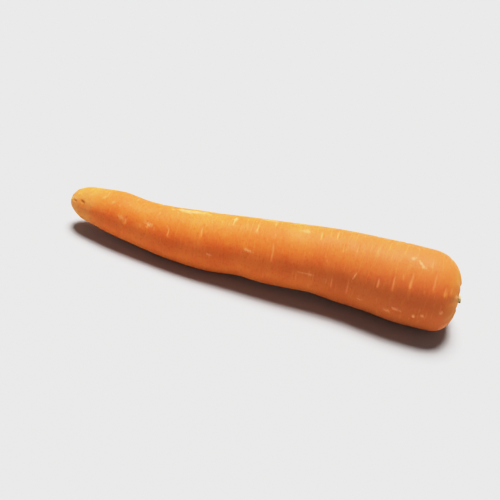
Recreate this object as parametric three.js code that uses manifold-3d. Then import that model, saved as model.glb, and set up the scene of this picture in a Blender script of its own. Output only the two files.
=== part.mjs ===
// A whole carrot lying on its side. The taproot grew as one piece; the trimmed bases of the leaf
// stalks, with the short disc of stem that they grow from, sit in the hollow of its crown.
// Millimetres, +Z up. X runs from the tail to the crown, and the origin is under the middle of the
// carrot, on the surface that it lies on.

import * as THREE from 'three';
import { mergeVertices } from 'three/addons/utils/BufferGeometryUtils.js';
import Module from 'manifold-3d';

const wasm = await Module();
wasm.setup();

// ---------------------------------------------------------------- driving dimensions
// A station is a distance along the root from the tip of the tail. An angle goes round the root,
// in degrees: 0 is +Y, 90 the top, 180 the front (-Y) and 270 the underside.

const ROOT_LENGTH = 207;
const TAIL_ROUNDING = 11; // the tail is blunt, and rounds off over this length
const SHOULDER_ROUNDING = 22; // the shoulder rounds over towards the crown in this length
const SHOULDER_SQUARENESS = 2.74; // 2 would make the shoulder an ellipse; more makes it squarer

const GIRTH = [[0, 7.8], [12, 9.4], [30, 11.9], [50, 12.8], [75, 14.6], [100, 15.4],
  [125, 16.5], [150, 17.9], [172, 19.5], [190, 20.2], [207, 21.1]]; // [station, radius]
const SWAY = [[0, 0], [30, -2.7], [60, -5.1], [90, -4], [120, -2.3], [150, 0.5], [178, -0.7],
  [194, -0.1], [207, 0]]; // [station, how far the middle line bends to +Y]
const HEIGHT = [[0, 13.6], [30, 13.9], [62, 13.3], [120, 17.8], [178, 19.3], [194, 19.5],
  [207, 20.4]]; // [station, height of the middle line]
const CROWN_STRAIGHT_FROM = 202; // past this station the middle line runs straight on
const ORIGIN_STATION = 104.016; // the station over the origin
const ORIGIN_SWAY = -0.35; // the middle of the carrot across, measured as SWAY is

// Low swellings and hollows of the body: [station, angle, rise, reach along, reach round in degrees]
const SWELLINGS = [[40, 62, -0.9, 10, 45], [84, 62, -0.3, 8, 45], [80, 235, 0.45, 9, 45],
  [97, 237, -0.5, 6, 40], [112, 235, 0.4, 8, 45], [134, 237, -0.5, 9, 40],
  [149, 237, 0.45, 8, 40], [169, 237, -0.45, 9, 40], [178, 60, 0.25, 8, 50],
  [189, 235, -0.45, 6, 40], [201, 222, 1.0, 6, 45], [203, 55, -0.45, 5, 35],
  [205, 100, 0.4, 4, 30], [70, 340, -0.5, 12, 40], [140, 0, 0.5, 16, 50],
  [28, 20, 0.35, 8, 60], [172, 330, -0.45, 12, 45]];
const OVAL = 0.012; // how far the section is from round, as a share of the radius
const OVAL_TWIST = 45; // the oval turns by half a radian in this length

// Scars of the side roots, across the body: [station, angle, length round the body]
const SCARS = [[38, 154, 4], [50, 145, 3.5], [61.5, 146, 5], [78.5, 131, 6.5], [93, 93, 9],
  [105.5, 105, 6], [115, 149, 10], [136, 101, 7], [143.5, 91, 9], [148, 187, 7],
  [155, 179, 9], [169.5, 156, 5.5], [176, 150, 8], [182.5, 140, 8.5], [193.5, 135, 10],
  [200, 144, 4]];
const SCAR_DEPTH = 0.35;
const SCAR_WIDTH = 1.5; // from its middle to either side
const SCAR_LEAST_TURN = 8; // degrees that a scar spans, at least, to either side
// Side roots come in ranks, so each station has scars on the far side too. In degrees:
const FAR_SCARS_EACH = 2;
const FAR_SCARS_FROM = 55;
const FAR_SCARS_APART = 110;
const FAR_SCARS_STRAY = 40;
const FAR_SCAR_SHORTEST = 4; // length round the body
const FAR_SCAR_LONGER_BY = 7; // at most
const SCAR_SEED = 11;

const SHOULDER_FOLDS = 7; // shallow creases that run from the crown out over the shoulder
const SHOULDER_FOLD_DEPTH = 0.4;
const SHOULDER_FOLD_REACH = 9; // from the crown
const SHOULDER_FOLD_UNEVENNESS = 1.3; // shifts the folds, so that they are not evenly spaced
const TAIL_CREASES = 5; // puckers round the scar of the broken tail
const TAIL_CREASE_TURN = 0.8; // of the first crease, in radians
const TAIL_CREASE_UNEVENNESS = 0.9;
const TAIL_CREASE_DEPTH = 0.35;
const TAIL_CREASE_REACH = 9; // from the tip

const RIM_RADIUS = 7.2; // the crown's hollow, inside the shoulder's rim
const HOLLOW_DEPTH = 4.6;
const HOLLOW_SMOOTHNESS = 8; // power by which the skin's relief fades inwards from the rim
const CLEARANCE = 0.3; // between the root and the disc of stem in its hollow

const STEM_RADIUS = 5.4; // the disc of stem
const STEM_EDGE = 0.4; // the disc's thickness at its edge
const STEM_CROWNING = 0.7; // the disc's middle stands this much above its edge
const STALKS = 7; // leaf-stalk bases, in a spiral
const STALK_TURN = 137.5; // degrees from one stalk to the next
const FIRST_STALK = 120; // its angle, near the top
const STALK_OUTER = { place: 2.9, width: 5, thickness: 1.7, top: -0.8 }; // the oldest stalk
const STALK_INNER = { place: 1, width: 2.9, thickness: 1.3, top: 0.8 }; // the youngest stalk
const STALK_ROOTED = 0.3; // a stalk base starts this far above the disc's underside
const STALK_LEAN = 0.7; // how far a stalk base leans out by its cut end
const STALK_REACH = 1.3; // how far it reaches out past its place, in thicknesses
const STALK_FOOT_SWELL = 0.12; // how much wider it is at its foot, as a share
const STALK_STRAY = 10; // degrees out of its place in the spiral, at most, in all
const STALK_CUT_SLOPE = 0.25; // slant of the cut, rise over run
const STALK_SEED = 17;
const CUT_UNEVENNESS = 0.7; // the cut ends stand higher and lower by this much in all
const TRIM_SLANT = 0.25; // the leaves were trimmed askew, so stubs on one side stand higher
const TRIM_TOWARDS = 195; // the angle of the side where they stand highest
const BUD_RADIUS = 1; // the bud of unopened leaves in the middle
const BUD_TOP = 0.2;
const BUD_OUTLINE = [[0, 0], [0.9, 0], [1, 0.45], [0.75, 0.75], [0.35, 0.95],
  [0, 1]]; // [share of its radius, share of its height]

const SIDES = 36;
const RING_SPACING = 4.2;
const RING_LEAST_GAP = 0.55;
const TAIL_RINGS = 8;
const SHOULDER_RINGS = 11;
const HOLLOW_RINGS = 5;
const STEM_RINGS = 5;
const STEM_SIDES = 24;
const BUD_SIDES = 10;
const STALK_RINGS = 3;
const STALK_CURVE_STEPS = 5;
const MERGE_WITHIN = 1e-4;
const LEVELLING_DEPTH = 10; // of the block that levels the underside

const SKIN_COLOUR = 0xe5863a;
const STALK_COLOUR = 0xb9b060;

// ---------------------------------------------------------------- curves along the root

/** Smooth curve through [place, value] points, with no overshoot worth noting. */
function smoothThrough(points, place) {
  const last = points.length - 1;
  const slope = (i) => {
    const [before, after] = [points[Math.max(i - 1, 0)], points[Math.min(i + 1, last)]];
    return (after[1] - before[1]) / (after[0] - before[0]);
  };
  let k = 0;
  while (k < last - 1 && place > points[k + 1][0]) k += 1;
  const [[x0, y0], [x1, y1]] = [points[k], points[k + 1]];
  const span = x1 - x0;
  const t = (place - x0) / span;
  const [t2, t3] = [t * t, t * t * t];
  return (2 * t3 - 3 * t2 + 1) * y0 + (t3 - 2 * t2 + t) * span * slope(k)
    + (3 * t2 - 2 * t3) * y1 + (t3 - t2) * span * slope(k + 1);
}

function middleLine(station) {
  const sway = smoothThrough(SWAY, station) - ORIGIN_SWAY;
  return new THREE.Vector3(station - ORIGIN_STATION, sway, smoothThrough(HEIGHT, station));
}

/** The middle line's point at a station, and the directions along, left of and up from it. */
function frameAt(station) {
  const held = Math.min(station, CROWN_STRAIGHT_FROM);
  const reach = 0.05;
  const along = middleLine(held + reach).sub(middleLine(held - reach)).normalize();
  const left = new THREE.Vector3(-along.y, along.x, 0).normalize();
  const up = new THREE.Vector3().crossVectors(along, left);
  const point = middleLine(held).addScaledVector(along, station - held);
  return { point, along, left, up };
}

/** Radius of the bare form: the body's girth, rounded off at the tail and the shoulder. */
function formRadius(station) {
  const girth = smoothThrough(GIRTH, station);
  if (station < TAIL_ROUNDING) {
    return girth * Math.sqrt(1 - (1 - station / TAIL_ROUNDING) ** 2);
  }
  const over = (station - (ROOT_LENGTH - SHOULDER_ROUNDING)) / SHOULDER_ROUNDING;
  if (over <= 0) return girth;
  return girth * (1 - over ** SHOULDER_SQUARENESS) ** (1 / SHOULDER_SQUARENESS);
}

// ---------------------------------------------------------------- relief of the root's skin

/** Repeatable draws between 0 and 1. */
function drawsFrom(seed) {
  let state = seed;
  return () => {
    state = (state * 16807) % 2147483647;
    return state / 2147483647;
  };
}

/** Each listed scar, and further scars at the same stations on the side away from it. */
function allScars() {
  const draw = drawsFrom(SCAR_SEED);
  const scars = [...SCARS];
  for (const [station, angle] of SCARS) {
    for (let k = 1; k <= FAR_SCARS_EACH; k += 1) {
      const stray = FAR_SCARS_STRAY * (draw() - 0.5);
      const away = (angle + FAR_SCARS_FROM + FAR_SCARS_APART * k + stray) % 360;
      scars.push([station, away, FAR_SCAR_SHORTEST + FAR_SCAR_LONGER_BY * draw()]);
    }
  }
  return scars;
}

const ROOT_SCARS = allScars();

/** Signed difference of two angles in degrees, within half a turn. */
function turnBetween(a, b) {
  return ((a - b + 540) % 360) - 180;
}

function swellingAt(station, angle) {
  let rise = 0;
  for (const [at, side, height, reach, spread] of SWELLINGS) {
    const along = (station - at) / reach;
    const round = turnBetween(angle, side) / spread;
    rise += height * Math.exp(-along * along - round * round);
  }
  return rise;
}

function scarAt(station, angle, radius) {
  let depth = 0;
  for (const [at, side, length] of ROOT_SCARS) {
    const across = Math.abs(station - at) / SCAR_WIDTH;
    const halfTurn = Math.max(THREE.MathUtils.radToDeg(length / 2 / radius), SCAR_LEAST_TURN);
    const round = Math.abs(turnBetween(angle, side)) / halfTurn;
    if (across < 1 && round < 1) {
      depth = Math.max(depth, SCAR_DEPTH * (1 - across) * (1 - round ** 3));
    }
  }
  return -depth;
}

function shoulderFoldAt(station, angle) {
  const near = THREE.MathUtils.smoothstep(station, ROOT_LENGTH - SHOULDER_FOLD_REACH, ROOT_LENGTH);
  const turn = THREE.MathUtils.degToRad(angle);
  const fold = Math.cos(SHOULDER_FOLDS * turn + SHOULDER_FOLD_UNEVENNESS * Math.sin(2 * turn));
  return -SHOULDER_FOLD_DEPTH * near * Math.max(0, fold) ** 2;
}

function tailCreaseAt(station, angle) {
  const near = 1 - THREE.MathUtils.smoothstep(station, 1, TAIL_CREASE_REACH);
  const turn = THREE.MathUtils.degToRad(angle);
  const shift = TAIL_CREASE_TURN + TAIL_CREASE_UNEVENNESS * Math.sin(turn + 1);
  return -TAIL_CREASE_DEPTH * near * Math.max(0, Math.cos(TAIL_CREASES * turn + shift)) ** 2;
}

/** How far the skin stands off the bare form. */
function reliefAt(station, angle, radius) {
  const turn = THREE.MathUtils.degToRad(angle);
  const oval = OVAL * radius * Math.cos(2 * turn - station / OVAL_TWIST);
  const relief = swellingAt(station, angle) + scarAt(station, angle, radius)
    + shoulderFoldAt(station, angle) + tailCreaseAt(station, angle) + oval;
  const fading = station > ROOT_LENGTH / 2 ? HOLLOW_SMOOTHNESS : 1;
  return relief * Math.min(1, radius / RIM_RADIUS) ** fading;
}

// ---------------------------------------------------------------- solids

/** Bends a shape that was made round the Y axis, with y as its station, along the middle line. */
function bendAlongRoot(geometry) {
  const position = geometry.attributes.position;
  for (let i = 0; i < position.count; i += 1) {
    const { point, left, up } = frameAt(position.getY(i));
    point.addScaledVector(left, position.getZ(i)).addScaledVector(up, position.getX(i));
    position.setXYZ(i, point.x, point.y, point.z);
  }
  return geometry;
}

/** The shape as a solid that can be cut and joined. */
function toSolid(geometry) {
  geometry.deleteAttribute('normal');
  geometry.deleteAttribute('uv');
  const merged = mergeVertices(geometry, MERGE_WITHIN);
  const corners = merged.index.array;
  const triVerts = [];
  for (let i = 0; i < corners.length; i += 3) {
    const [a, b, c] = corners.slice(i, i + 3);
    if (a !== b && b !== c && c !== a) triVerts.push(a, b, c);
  }
  return new wasm.Manifold(new wasm.Mesh({
    numProp: 3,
    vertProperties: new Float32Array(merged.attributes.position.array),
    triVerts: new Uint32Array(triVerts),
  }));
}

function toGeometry(solid) {
  const { vertProperties, triVerts } = solid.getMesh();
  const geometry = new THREE.BufferGeometry();
  geometry.setAttribute('position', new THREE.BufferAttribute(vertProperties, 3));
  geometry.setIndex(new THREE.BufferAttribute(triVerts, 1));
  geometry.computeVertexNormals();
  return geometry;
}

/** Takes off what lies below the surface that the carrot rests on, which leaves it a flat there. */
function cutLevel(solid) {
  const below = new THREE.BoxGeometry(2 * ROOT_LENGTH, ROOT_LENGTH, LEVELLING_DEPTH);
  below.translate(0, 0, -LEVELLING_DEPTH / 2);
  return solid.subtract(toSolid(below));
}

// ---------------------------------------------------------------- the taproot

/** Station of the rim of the crown's hollow, where the shoulder's curve is cut short. */
function crownStation() {
  const share = RIM_RADIUS / smoothThrough(GIRTH, ROOT_LENGTH);
  const over = (1 - share ** SHOULDER_SQUARENESS) ** (1 / SHOULDER_SQUARENESS);
  return ROOT_LENGTH - SHOULDER_ROUNDING * (1 - over);
}

/** Station of the hollow's surface at a distance from the middle line. */
function hollowStation(radius) {
  return crownStation() - HOLLOW_DEPTH * (1 - (radius / RIM_RADIUS) ** 3);
}

/** Stations of the rings: three at each scar, close together at both ends, even between. */
function ringStations() {
  const rings = [];
  const add = (station) => {
    if (rings.every((ring) => Math.abs(ring - station) > RING_LEAST_GAP)) rings.push(station);
  };
  const rimStation = crownStation();
  rings.push(rimStation);
  for (const [station] of SCARS) {
    [0, -SCAR_WIDTH, SCAR_WIDTH].forEach((offset) => add(station + offset));
  }
  for (let k = 1; k <= TAIL_RINGS; k += 1) {
    add(TAIL_ROUNDING * (1 - Math.cos((k / TAIL_RINGS) * Math.PI / 2)));
  }
  const shoulderFrom = ROOT_LENGTH - SHOULDER_ROUNDING;
  for (let k = 1; k < SHOULDER_RINGS; k += 1) {
    add(shoulderFrom + (rimStation - shoulderFrom) * Math.sin((k / SHOULDER_RINGS) * Math.PI / 2));
  }
  for (let s = TAIL_ROUNDING + RING_SPACING; s < shoulderFrom; s += RING_SPACING) add(s);
  return rings.sort((a, b) => a - b);
}

/** Half the root's long section, from the tail's tip round to the middle of the crown's hollow. */
function rootProfile() {
  const points = [new THREE.Vector2(0, 0)];
  for (const station of ringStations()) {
    points.push(new THREE.Vector2(formRadius(station), station));
  }
  for (let k = HOLLOW_RINGS - 1; k >= 0; k -= 1) {
    const radius = RIM_RADIUS * (k / HOLLOW_RINGS);
    points.push(new THREE.Vector2(radius, hollowStation(radius)));
  }
  return points;
}

function taprootSolid() {
  const geometry = new THREE.LatheGeometry(rootProfile(), SIDES);
  const { position, normal } = geometry.attributes;
  for (let i = 0; i < position.count; i += 1) {
    const point = new THREE.Vector3().fromBufferAttribute(position, i);
    const outward = new THREE.Vector3().fromBufferAttribute(normal, i);
    const angle = THREE.MathUtils.radToDeg(Math.atan2(point.x, point.z));
    point.addScaledVector(outward, reliefAt(point.y, angle, Math.hypot(point.x, point.z)));
    position.setXYZ(i, point.x, point.y, point.z);
  }
  return cutLevel(toSolid(bendAlongRoot(geometry)));
}

// ---------------------------------------------------------------- the leaf-stalk stubs

/** The disc of stem in the hollow: its underside follows the hollow, its top is slightly domed. */
function stemProfile() {
  const bottom = [];
  const top = [];
  const edge = hollowStation(STEM_RADIUS) + CLEARANCE + STEM_EDGE;
  for (let k = 0; k <= STEM_RINGS; k += 1) {
    const radius = STEM_RADIUS * (k / STEM_RINGS);
    bottom.push(new THREE.Vector2(radius, hollowStation(radius) + CLEARANCE));
    top.push(new THREE.Vector2(radius, edge + STEM_CROWNING * (1 - (k / STEM_RINGS) ** 2)));
  }
  return [...bottom, ...top.reverse()];
}

/** Section of a stalk base: a thick crescent, hollow side towards the bud. */
function crescent(width, thickness) {
  const shape = new THREE.Shape();
  const half = width / 2;
  const tip = thickness * 0.3;
  const outside = thickness * 1.5;
  const inside = thickness * 0.25;
  shape.moveTo(0, -half);
  shape.bezierCurveTo(outside, -half * 0.8, outside, half * 0.8, 0, half);
  shape.lineTo(-tip, half * 0.85);
  shape.bezierCurveTo(inside, half * 0.5, inside, -half * 0.5, -tip, -half * 0.85);
  shape.closePath();
  return shape;
}

/** One stalk base, standing along Y on the disc, leaning out and cut on a slant. */
function stalkBase(index, draw) {
  const share = index / (STALKS - 1);
  const size = (key) => THREE.MathUtils.lerp(STALK_OUTER[key], STALK_INNER[key], share);
  const outermost = size('place') + STALK_REACH * size('thickness');
  const foot = hollowStation(outermost) + CLEARANCE + STALK_ROOTED;
  const fromHighest = THREE.MathUtils.degToRad(FIRST_STALK + STALK_TURN * index - TRIM_TOWARDS);
  const askew = TRIM_SLANT * outermost * Math.cos(fromHighest);
  const top = crownStation() + size('top') + askew + CUT_UNEVENNESS * (draw() - 0.5);
  const height = top - foot;
  const shape = crescent(size('width'), size('thickness'));
  const geometry = new THREE.ExtrudeGeometry(shape,
    { depth: height, steps: STALK_RINGS, curveSegments: STALK_CURVE_STEPS, bevelEnabled: false });
  const position = geometry.attributes.position;
  const slant = STALK_CUT_SLOPE * (draw() - 0.3);
  for (let i = 0; i < position.count; i += 1) {
    const rise = position.getZ(i) / height;
    const swell = 1 + STALK_FOOT_SWELL * (1 - rise) ** 2;
    const x = position.getX(i) * swell + STALK_LEAN * rise * rise;
    const y = position.getY(i) * swell;
    position.setXYZ(i, x, y, position.getZ(i) + slant * y * rise);
  }
  geometry.translate(size('place'), 0, foot);
  geometry.rotateX(-Math.PI / 2);
  const about = STALK_TURN * index + STALK_STRAY * (draw() - 0.5);
  geometry.rotateY(THREE.MathUtils.degToRad(about));
  return geometry;
}

/** The pointed bud of unopened leaves in the middle of the stalk bases. */
function budProfile() {
  const foot = hollowStation(0) + CLEARANCE + STALK_ROOTED;
  const height = crownStation() + BUD_TOP - foot;
  return BUD_OUTLINE.map(([across, up]) => (
    new THREE.Vector2(BUD_RADIUS * across, foot + height * up)));
}

function stubsSolid() {
  const draw = drawsFrom(STALK_SEED);
  let solid = toSolid(bendAlongRoot(new THREE.LatheGeometry(stemProfile(), STEM_SIDES)));
  solid = solid.add(toSolid(bendAlongRoot(new THREE.LatheGeometry(budProfile(), BUD_SIDES))));
  for (let index = 0; index < STALKS; index += 1) {
    solid = solid.add(toSolid(bendAlongRoot(stalkBase(index, draw))));
  }
  return solid;
}

// ---------------------------------------------------------------- the carrot

function piece(name, solid, material) {
  const mesh = new THREE.Mesh(toGeometry(solid), material);
  mesh.name = name;
  return mesh;
}

function rootSkin() {
  return new THREE.MeshStandardMaterial({ color: SKIN_COLOUR, roughness: 0.5, metalness: 0 });
}

function stalkFlesh() {
  return new THREE.MeshStandardMaterial({ color: STALK_COLOUR, roughness: 0.65, metalness: 0 });
}

const carrot = new THREE.Group();
carrot.add(piece('taproot', taprootSolid(), rootSkin()));
carrot.add(piece('leaf_stalk_stubs', stubsSolid(), stalkFlesh()));

export default carrot;
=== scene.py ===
# %% [markdown]
# # A carrot on its side
# A carrot is a swollen taproot: one long body that tapers to a blunt tail, with a round shoulder
# and the stubs of its leaf stalks sitting in a hollow at the top. The packed solids already hold
# that form, and they are the frame that every finer piece has to fit. The finer pieces could be
# sculpted over them by hand, but the same named dimensions are used here again, so that each
# piece keeps the place and the form of the solid that it stands for.

import math

import bmesh
import bpy
import numpy as np
from mathutils import Matrix, Vector, noise


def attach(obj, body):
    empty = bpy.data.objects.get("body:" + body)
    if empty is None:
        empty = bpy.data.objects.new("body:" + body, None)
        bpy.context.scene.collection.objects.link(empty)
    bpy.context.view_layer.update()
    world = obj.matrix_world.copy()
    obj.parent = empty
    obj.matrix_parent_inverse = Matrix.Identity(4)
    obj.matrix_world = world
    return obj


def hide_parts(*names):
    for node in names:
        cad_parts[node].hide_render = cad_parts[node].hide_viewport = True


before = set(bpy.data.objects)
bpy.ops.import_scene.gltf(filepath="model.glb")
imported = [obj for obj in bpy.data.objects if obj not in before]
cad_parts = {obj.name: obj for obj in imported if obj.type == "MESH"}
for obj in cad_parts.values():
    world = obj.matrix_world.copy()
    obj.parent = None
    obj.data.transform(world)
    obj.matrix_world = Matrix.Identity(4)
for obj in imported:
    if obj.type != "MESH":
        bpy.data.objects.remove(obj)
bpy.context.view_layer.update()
MM = 0.001  # every dimension below is in millimetres, and is made metres when a mesh is made

# %% [markdown]
# ## The line and the girth of the root
# A carrot is nearly straight, but soil pushes it about, so its middle line sways a little and its
# girth changes unevenly. A station is a distance in mm along the root from the tip of the tail. A
# curve object could carry the line, with another for the taper; a short smooth curve through a few
# measured points does both, and gives the place of any station, which the marks need later on.

# %% Curves along the root
ROOT_LENGTH = 207
GIRTH = [[0, 7.8], [12, 9.4], [30, 11.9], [50, 12.8], [75, 14.6], [100, 15.4],
         [125, 16.5], [150, 17.9], [172, 19.5], [190, 20.2], [207, 21.1]]
SWAY = [[0, 0], [30, -2.7], [60, -5.1], [90, -4], [120, -2.3], [150, 0.5], [178, -0.7],
        [194, -0.1], [207, 0]]
HEIGHT = [[0, 13.6], [30, 13.9], [62, 13.3], [120, 17.8], [178, 19.3], [194, 19.5], [207, 20.4]]


def smooth_through(points, place):
    """Smooth curve through (place, value) points, read at many places at once."""
    at, value = np.array(points, float).T
    number = np.arange(len(at))
    before, after = np.maximum(number - 1, 0), np.minimum(number + 1, len(at) - 1)
    slope = (value[after] - value[before]) / (at[after] - at[before])
    k = np.clip(np.searchsorted(at, place) - 1, 0, len(at) - 2)
    span = at[k + 1] - at[k]
    t = (place - at[k]) / span
    return ((2 * t**3 - 3 * t**2 + 1) * value[k] + (t**3 - 2 * t**2 + t) * span * slope[k]
            + (3 * t**2 - 2 * t**3) * value[k + 1] + (t**3 - t**2) * span * slope[k + 1])


print("radius at the tail, middle and crown:",
      smooth_through(GIRTH, np.array([12.0, 103.0, 200.0])).round(1), "mm")

# %% [markdown]
# ## Bending a straight carrot
# Every piece is first made straight, standing along Z, because a lathe shape and the marks round
# it are simple there. Blender's Curve modifier could bend it, but the pieces in the crown have to
# bend in exactly the same way, so one small function carries any straight point to its place on
# the lying carrot. X of the straight carrot turns to its left (+Y), and Y turns to the top.

# %% Carry straight points to the lying carrot
CROWN_STRAIGHT_FROM = 202  # past this station the middle line runs straight on
ORIGIN_STATION = 104.016  # the station over the origin
ORIGIN_SWAY = -0.35  # the middle of the carrot across, measured as SWAY is
SLOPE_REACH = 0.05  # the line's direction is read this far to either side of a station


def middle_line(station):
    sway = smooth_through(SWAY, station) - ORIGIN_SWAY
    return np.stack([station - ORIGIN_STATION, sway, smooth_through(HEIGHT, station)], axis=1)


def unit(vectors):
    return vectors / np.linalg.norm(vectors, axis=1, keepdims=True)


def bend_along_root(points):
    """Straight points (across, across, station) in mm, as places on the lying carrot in mm."""
    station = points[:, 2]
    held = np.minimum(station, CROWN_STRAIGHT_FROM)
    along = unit(middle_line(held + SLOPE_REACH) - middle_line(held - SLOPE_REACH))
    left = unit(np.stack([-along[:, 1], along[:, 0], np.zeros(len(along))], axis=1))
    up = np.cross(along, left)
    middle = middle_line(held) + along * (station - held)[:, None]
    return middle + left * points[:, :1] + up * points[:, 1:2]


print("tip of the tail at", bend_along_root(np.zeros((1, 3)))[0].round(1), "mm")

# %% [markdown]
# ## The half section
# Cut a carrot in half lengthwise and the cut shows a blunt end at the tail, an almost straight
# side, a shoulder that rounds over squarely, and a small hollow where the leaves grew. That half
# section is all a lathe needs. The rings lie close together, a third of a millimetre along the
# body, because the scars and wrinkles run round the root and are narrow along it.

# %% Draw the half section
TAIL_ROUNDING = 11
SHOULDER_ROUNDING = 22
SHOULDER_SQUARENESS = 2.74
RIM_RADIUS = 7.2
HOLLOW_DEPTH = 4.6
SHOULDER_FROM = ROOT_LENGTH - SHOULDER_ROUNDING
TAIL_RINGS = 37
BODY_RINGS = 480
SHOULDER_RINGS = 57
HOLLOW_RINGS = 19


def form_radius(station):
    """Radius of the bare form, rounded off at the tail and the shoulder."""
    in_tail = np.clip(1 - station / TAIL_ROUNDING, 0, 1)
    over = np.clip((station - SHOULDER_FROM) / SHOULDER_ROUNDING, 0, 1)
    rounding = (1 - over**SHOULDER_SQUARENESS) ** (1 / SHOULDER_SQUARENESS)
    return smooth_through(GIRTH, station) * np.sqrt(1 - in_tail**2) * rounding


rim_share = RIM_RADIUS / GIRTH[-1][1]
CROWN_STATION = ROOT_LENGTH - SHOULDER_ROUNDING * (
    1 - (1 - rim_share**SHOULDER_SQUARENESS) ** (1 / SHOULDER_SQUARENESS))


def hollow_station(radius):
    return CROWN_STATION - HOLLOW_DEPTH * (1 - (radius / RIM_RADIUS) ** 3)


def half_section():
    """(radius, station) pairs from the tip of the tail round to the middle of the hollow."""
    tail_turn = np.linspace(0, math.pi / 2, TAIL_RINGS)
    tail = TAIL_ROUNDING * (1 - np.cos(tail_turn))
    body = np.linspace(TAIL_ROUNDING, SHOULDER_FROM, BODY_RINGS)[1:-1]
    shoulder_turn = np.linspace(0, math.pi / 2, SHOULDER_RINGS)
    shoulder = SHOULDER_FROM + (CROWN_STATION - SHOULDER_FROM) * np.sin(shoulder_turn)
    outside = np.concatenate([tail, body, shoulder])
    inside = np.linspace(RIM_RADIUS, 0, HOLLOW_RINGS)[1:]
    radius = np.concatenate([form_radius(outside), inside])
    return np.stack([radius, np.concatenate([outside, hollow_station(inside)])], axis=1)


section = half_section()
print(len(section), "rings; the rim of the crown is at station", round(CROWN_STATION, 1))

# %% [markdown]
# ## Turning the root
# The section is laid down as a line of vertices and turned round with spin, as on a lathe. A
# stack of extruded circles would do as well, but spin closes the seam and both ends in one go.
# The rim of the hollow is a sharp corner in the section, and skin has none, so a few passes of
# smooth_vert soften it before the turn.

# %% Spin the section
ROUND_STEPS = 160
RIM_SOFTENING = 6  # passes
RIM_REACH = 1.6  # how far from the sharp corner they reach
MERGE_WITHIN = 1e-4


def turned_root():
    bm = bmesh.new()
    line = [bm.verts.new((radius, 0, station)) for radius, station in section]
    for a, b in zip(line, line[1:]):
        bm.edges.new((a, b))
    corner = Vector((RIM_RADIUS, 0, CROWN_STATION))
    rim = [v for v in line if (v.co - corner).length < RIM_REACH]
    for _ in range(RIM_SOFTENING):
        bmesh.ops.smooth_vert(bm, verts=rim, factor=0.5,
                              use_axis_x=True, use_axis_y=True, use_axis_z=True)
    bmesh.ops.spin(bm, geom=bm.verts[:] + bm.edges[:], axis=(0, 0, 1), cent=(0, 0, 0),
                   angle=math.tau, steps=ROUND_STEPS, use_merge=True)
    bmesh.ops.remove_doubles(bm, verts=bm.verts[:], dist=MERGE_WITHIN)
    bmesh.ops.recalc_face_normals(bm, faces=bm.faces[:])
    return bm


def as_mesh(bm, name):
    """The bmesh as a smooth-shaded mesh, still straight and in millimetres."""
    mesh = bpy.data.meshes.new(name)
    bm.to_mesh(mesh)
    bm.free()
    mesh.shade_smooth()
    return mesh


root_mesh = as_mesh(turned_root(), "carrot_root")
print(len(root_mesh.vertices), "vertices,", len(root_mesh.polygons), "faces")

# %% [markdown]
# ## Reading the mesh as arrays
# There are nearly a hundred thousand vertices, and each mark touches a few hundred of them. A
# loop over vertices for each mark would take minutes. numpy holds every vertex's station, angle
# and distance from the middle as arrays, so a mark is one line of arithmetic for all of them.
# Angles go round the root in degrees: 90 is the top, 180 the front and 270 the underside.

# %% Station, angle and radius of every vertex


def read_vectors(source, name):
    values = np.zeros(len(source) * 3)
    source.foreach_get(name, values)
    return values.reshape(-1, 3)


straight = read_vectors(root_mesh.vertices, "co")
outward = read_vectors(root_mesh.vertex_normals, "vector")
station = straight[:, 2]
angle = np.degrees(np.arctan2(straight[:, 1], straight[:, 0]))
radius = np.hypot(straight[:, 0], straight[:, 1])
well_inside = 0.97 * RIM_RADIUS
in_hollow = (radius < well_inside) & (station > SHOULDER_FROM)
print("radius up to", radius.max().round(1), "mm;", int(in_hollow.sum()), "vertices in the hollow")


def turn_between(a, b):
    return (a - b + 540) % 360 - 180


def smooth_step(value, low, high):
    t = np.clip((value - low) / (high - low), 0, 1)
    return t * t * (3 - 2 * t)


def draws_from(seed):
    """Repeatable draws between 0 and 1."""
    state = seed
    while True:
        state = (state * 16807) % 2147483647
        yield state / 2147483647


# %% [markdown]
# ## Low swellings, folds and creases
# The girth of a real root swells and shrinks gently where stones and drought checked it, the
# shoulder has shallow folds that run out from the crown, and the skin puckers round the broken
# tail. These are low, wide forms. The solids hold them too, so here they are the same sums.

# %% Shape the low relief
SWELLINGS = [[40, 62, -0.9, 10, 45], [84, 62, -0.3, 8, 45], [80, 235, 0.45, 9, 45],
             [97, 237, -0.5, 6, 40], [112, 235, 0.4, 8, 45], [134, 237, -0.5, 9, 40],
             [149, 237, 0.45, 8, 40], [169, 237, -0.45, 9, 40], [178, 60, 0.25, 8, 50],
             [189, 235, -0.45, 6, 40], [201, 222, 1.0, 6, 45], [203, 55, -0.45, 5, 35],
             [205, 100, 0.4, 4, 30], [70, 340, -0.5, 12, 40], [140, 0, 0.5, 16, 50],
             [28, 20, 0.35, 8, 60], [172, 330, -0.45, 12, 45]]  # station, angle, rise, reaches
OVAL = 0.012  # how far the section is from round, as a share of the radius
OVAL_TWIST = 45
SHOULDER_FOLDS, SHOULDER_FOLD_DEPTH, SHOULDER_FOLD_REACH = 7, 0.4, 9
SHOULDER_FOLD_UNEVENNESS = 1.3
TAIL_CREASES, TAIL_CREASE_DEPTH, TAIL_CREASE_REACH = 5, 0.35, 9
TAIL_CREASE_TURN, TAIL_CREASE_UNEVENNESS = 0.8, 0.9

turn = np.radians(angle)
relief = OVAL * radius * np.cos(2 * turn - station / OVAL_TWIST)
for at, side, height, reach, spread in SWELLINGS:
    relief += height * np.exp(-((station - at) / reach) ** 2
                              - (turn_between(angle, side) / spread) ** 2)

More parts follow.
